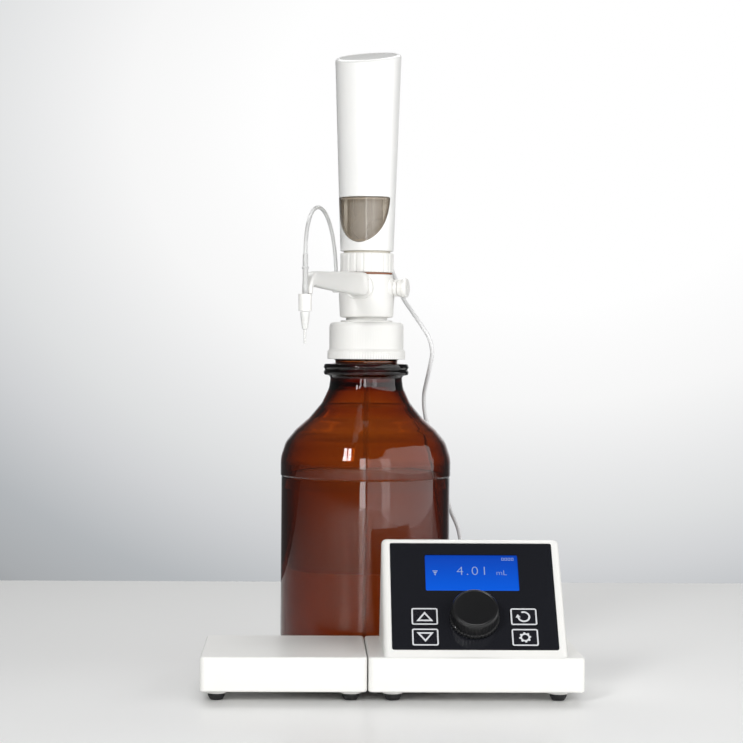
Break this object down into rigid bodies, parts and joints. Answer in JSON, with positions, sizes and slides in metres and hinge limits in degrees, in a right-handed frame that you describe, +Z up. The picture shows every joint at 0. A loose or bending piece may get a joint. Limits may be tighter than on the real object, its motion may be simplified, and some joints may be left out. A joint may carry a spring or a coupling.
{
  "type": "bottle-top titrator",
  "caption": "Motor-driven burette head on an amber bottle, with an arched dispensing tube, a low stirrer box and a control console with screen, keys and knob.",
  "frame": {"origin": "on the bench, under the middle of the whole object's box without its signal lead", "axes": "+Z up, -Y towards the operator (console front), +X to the operator's right"},
  "size_m": [0.2312, 0.222, 0.4129],
  "materials": {
    "white_plastic": "fine satin moulded plastic",
    "grey_plastic": "satin moulded plastic",
    "inner_plastic": "matt glass-filled plastic",
    "black_rubber": "matt moulded rubber",
    "gloss_panel": "high gloss",
    "key_face": "satin with pale outlines",
    "black_satin": "satin moulded plastic",
    "display": "lit blue liquid crystal under clear cover",
    "steel": "machined",
    "motor_case": "plated",
    "circuit_board": "solder mask",
    "amber_glass": "smooth amber glass",
    "smoked_window": "smoked clear plastic",
    "clear_glass": "clear",
    "fluoropolymer": "smooth translucent white",
    "lead_jacket": "soft extruded jacket"
  },
  "bodies": {
    "stand": {"stirrer_top_shell": "white_plastic", "stirrer_bottom_plate": "white_plastic", "stirrer_foot_front_left": "black_rubber", "stirrer_foot_front_right": "black_rubber", "stirrer_foot_rear_left": "black_rubber", "stirrer_foot_rear_right": "black_rubber", "stirrer_motor": "motor_case", "console_base_shell": "white_plastic", "console_bottom_plate": "white_plastic", "console_foot_front_left": "black_rubber", "console_foot_front_right": "black_rubber", "console_foot_rear_left": "black_rubber", "console_foot_rear_right": "black_rubber", "console_housing": "white_plastic", "console_rear_cover": "white_plastic", "panel_overlay": "gloss_panel", "display_module": "display", "encoder_body": "steel", "panel_circuit_board": "circuit_board", "power_inlet": "black_satin", "lead_socket": "black_satin", "bottle": "amber_glass", "head_lead": "lead_jacket", "lead_plug": "black_satin"},
    "stirrer_drive": {"stirrer_rotor": "steel", "stirrer_magnet": "black_satin"},
    "up_key": {"key_up": "key_face"},
    "down_key": {"key_down": "key_face"},
    "return_key": {"key_return": "key_face"},
    "settings_key": {"key_settings": "key_face"},
    "knob": {"control_knob": "black_satin", "encoder_shaft": "steel"},
    "rocker": {"power_rocker": "black_satin"},
    "slip_washer": {"cap_slip_washer": "fluoropolymer"},
    "cap": {"bottle_cap": "white_plastic"},
    "head": {"valve_block": "white_plastic", "suction_tube": "fluoropolymer", "tube_elbow": "fluoropolymer", "nozzle_arm": "white_plastic", "nozzle_collar": "white_plastic", "nozzle_tip": "fluoropolymer", "tube_sleeve": "fluoropolymer", "discharge_tube": "fluoropolymer", "head_shell_front": "white_plastic", "head_shell_rear": "white_plastic", "head_top_cap": "grey_plastic", "head_window": "smoked_window", "glass_cylinder": "clear_glass", "drive_motor": "motor_case", "drive_chassis": "inner_plastic", "head_circuit_board": "circuit_board", "lead_gland": "lead_jacket"},
    "ring": {"coupling_ring": "white_plastic"},
    "vent": {"vent_cap": "white_plastic"},
    "piston": {"piston_seal": "fluoropolymer", "piston_rod": "fluoropolymer", "drive_nut": "inner_plastic"},
    "screw": {"lead_screw": "steel"},
    "inlet_ball": {"inlet_valve_ball": "clear_glass"},
    "outlet_ball": {"outlet_valve_ball": "clear_glass"}
  },
  "joints": [
    {"name": "head_swivel", "type": "hinge", "parent": "stand", "child": "head", "pos_m": [-0.013, 0.054, 0.247], "axis": [0, 0, 1], "range_deg": [-35, 12]},
    {"name": "ring_turn", "type": "hinge", "parent": "head", "child": "ring", "pos_m": [-0.013, 0.054, 0.2688], "axis": [0, 0, 1], "range_deg": [0, 90]},
    {"name": "vent_cap_turn", "type": "hinge", "parent": "head", "child": "vent", "pos_m": [0.0112, 0.04595, 0.252], "axis": [0.9489, -0.3156, 0], "range_deg": [0, 90]},
    {"name": "piston_slide", "type": "slide", "parent": "head", "child": "piston", "axis": [0, 0, 1], "range_m": [0, 0.024]},
    {"name": "screw_spin", "type": "hinge", "parent": "head", "child": "screw", "pos_m": [-0.013, 0.054, 0.345], "axis": [0, 0, 1], "range_deg": [0, 2161]},
    {"name": "cap_rise", "type": "slide", "parent": "stand", "child": "slip_washer", "axis": [0, 0, 1], "range_m": [0, 0.0015]},
    {"name": "cap_turn", "type": "hinge", "parent": "slip_washer", "child": "cap", "pos_m": [-0.013, 0.054, 0.217], "axis": [0, 0, 1], "range_deg": [0, 135.5]},
    {"name": "inlet_ball_lift", "type": "slide", "parent": "head", "child": "inlet_ball", "axis": [0, 0, 1], "range_m": [0, 0.001]},
    {"name": "outlet_ball_lift", "type": "slide", "parent": "head", "child": "outlet_ball", "axis": [0, 0, 1], "range_m": [0, 0.0008]},
    {"name": "stirrer_spin", "type": "hinge", "parent": "stand", "child": "stirrer_drive", "pos_m": [-0.06545, -0.061, 0.0195], "axis": [0, 0, 1], "continuous": true},
    {"name": "knob_spin", "type": "hinge", "parent": "stand", "child": "knob", "pos_m": [0.0501, -0.09479, 0.05175], "axis": [0, -0.7431, 0.6691], "continuous": true},
    {"name": "key_up_press", "type": "slide", "parent": "stand", "child": "up_key", "axis": [0, 0.7431, -0.6691], "range_m": [0, 0.0006], "stiffness_N_per_m": 800, "springref_m": -0.001},
    {"name": "key_down_press", "type": "slide", "parent": "stand", "child": "down_key", "axis": [0, 0.7431, -0.6691], "range_m": [0, 0.0006], "stiffness_N_per_m": 800, "springref_m": -0.001},
    {"name": "key_return_press", "type": "slide", "parent": "stand", "child": "return_key", "axis": [0, 0.7431, -0.6691], "range_m": [0, 0.0006], "stiffness_N_per_m": 800, "springref_m": -0.001},
    {"name": "key_settings_press", "type": "slide", "parent": "stand", "child": "settings_key", "axis": [0, 0.7431, -0.6691], "range_m": [0, 0.0006], "stiffness_N_per_m": 800, "springref_m": -0.001},
    {"name": "rocker_tilt", "type": "hinge", "parent": "stand", "child": "rocker", "pos_m": [0.048, -0.0135, 0.0165], "axis": [1, 0, 0], "range_deg": [0, 11]}
  ],
  "couplings": [
    {"joint": "screw_spin", "follows": "piston_slide", "rad_per_m": 1570.8},
    {"joint": "cap_turn", "follows": "cap_rise", "rad_per_m": 1570.8}
  ]
}
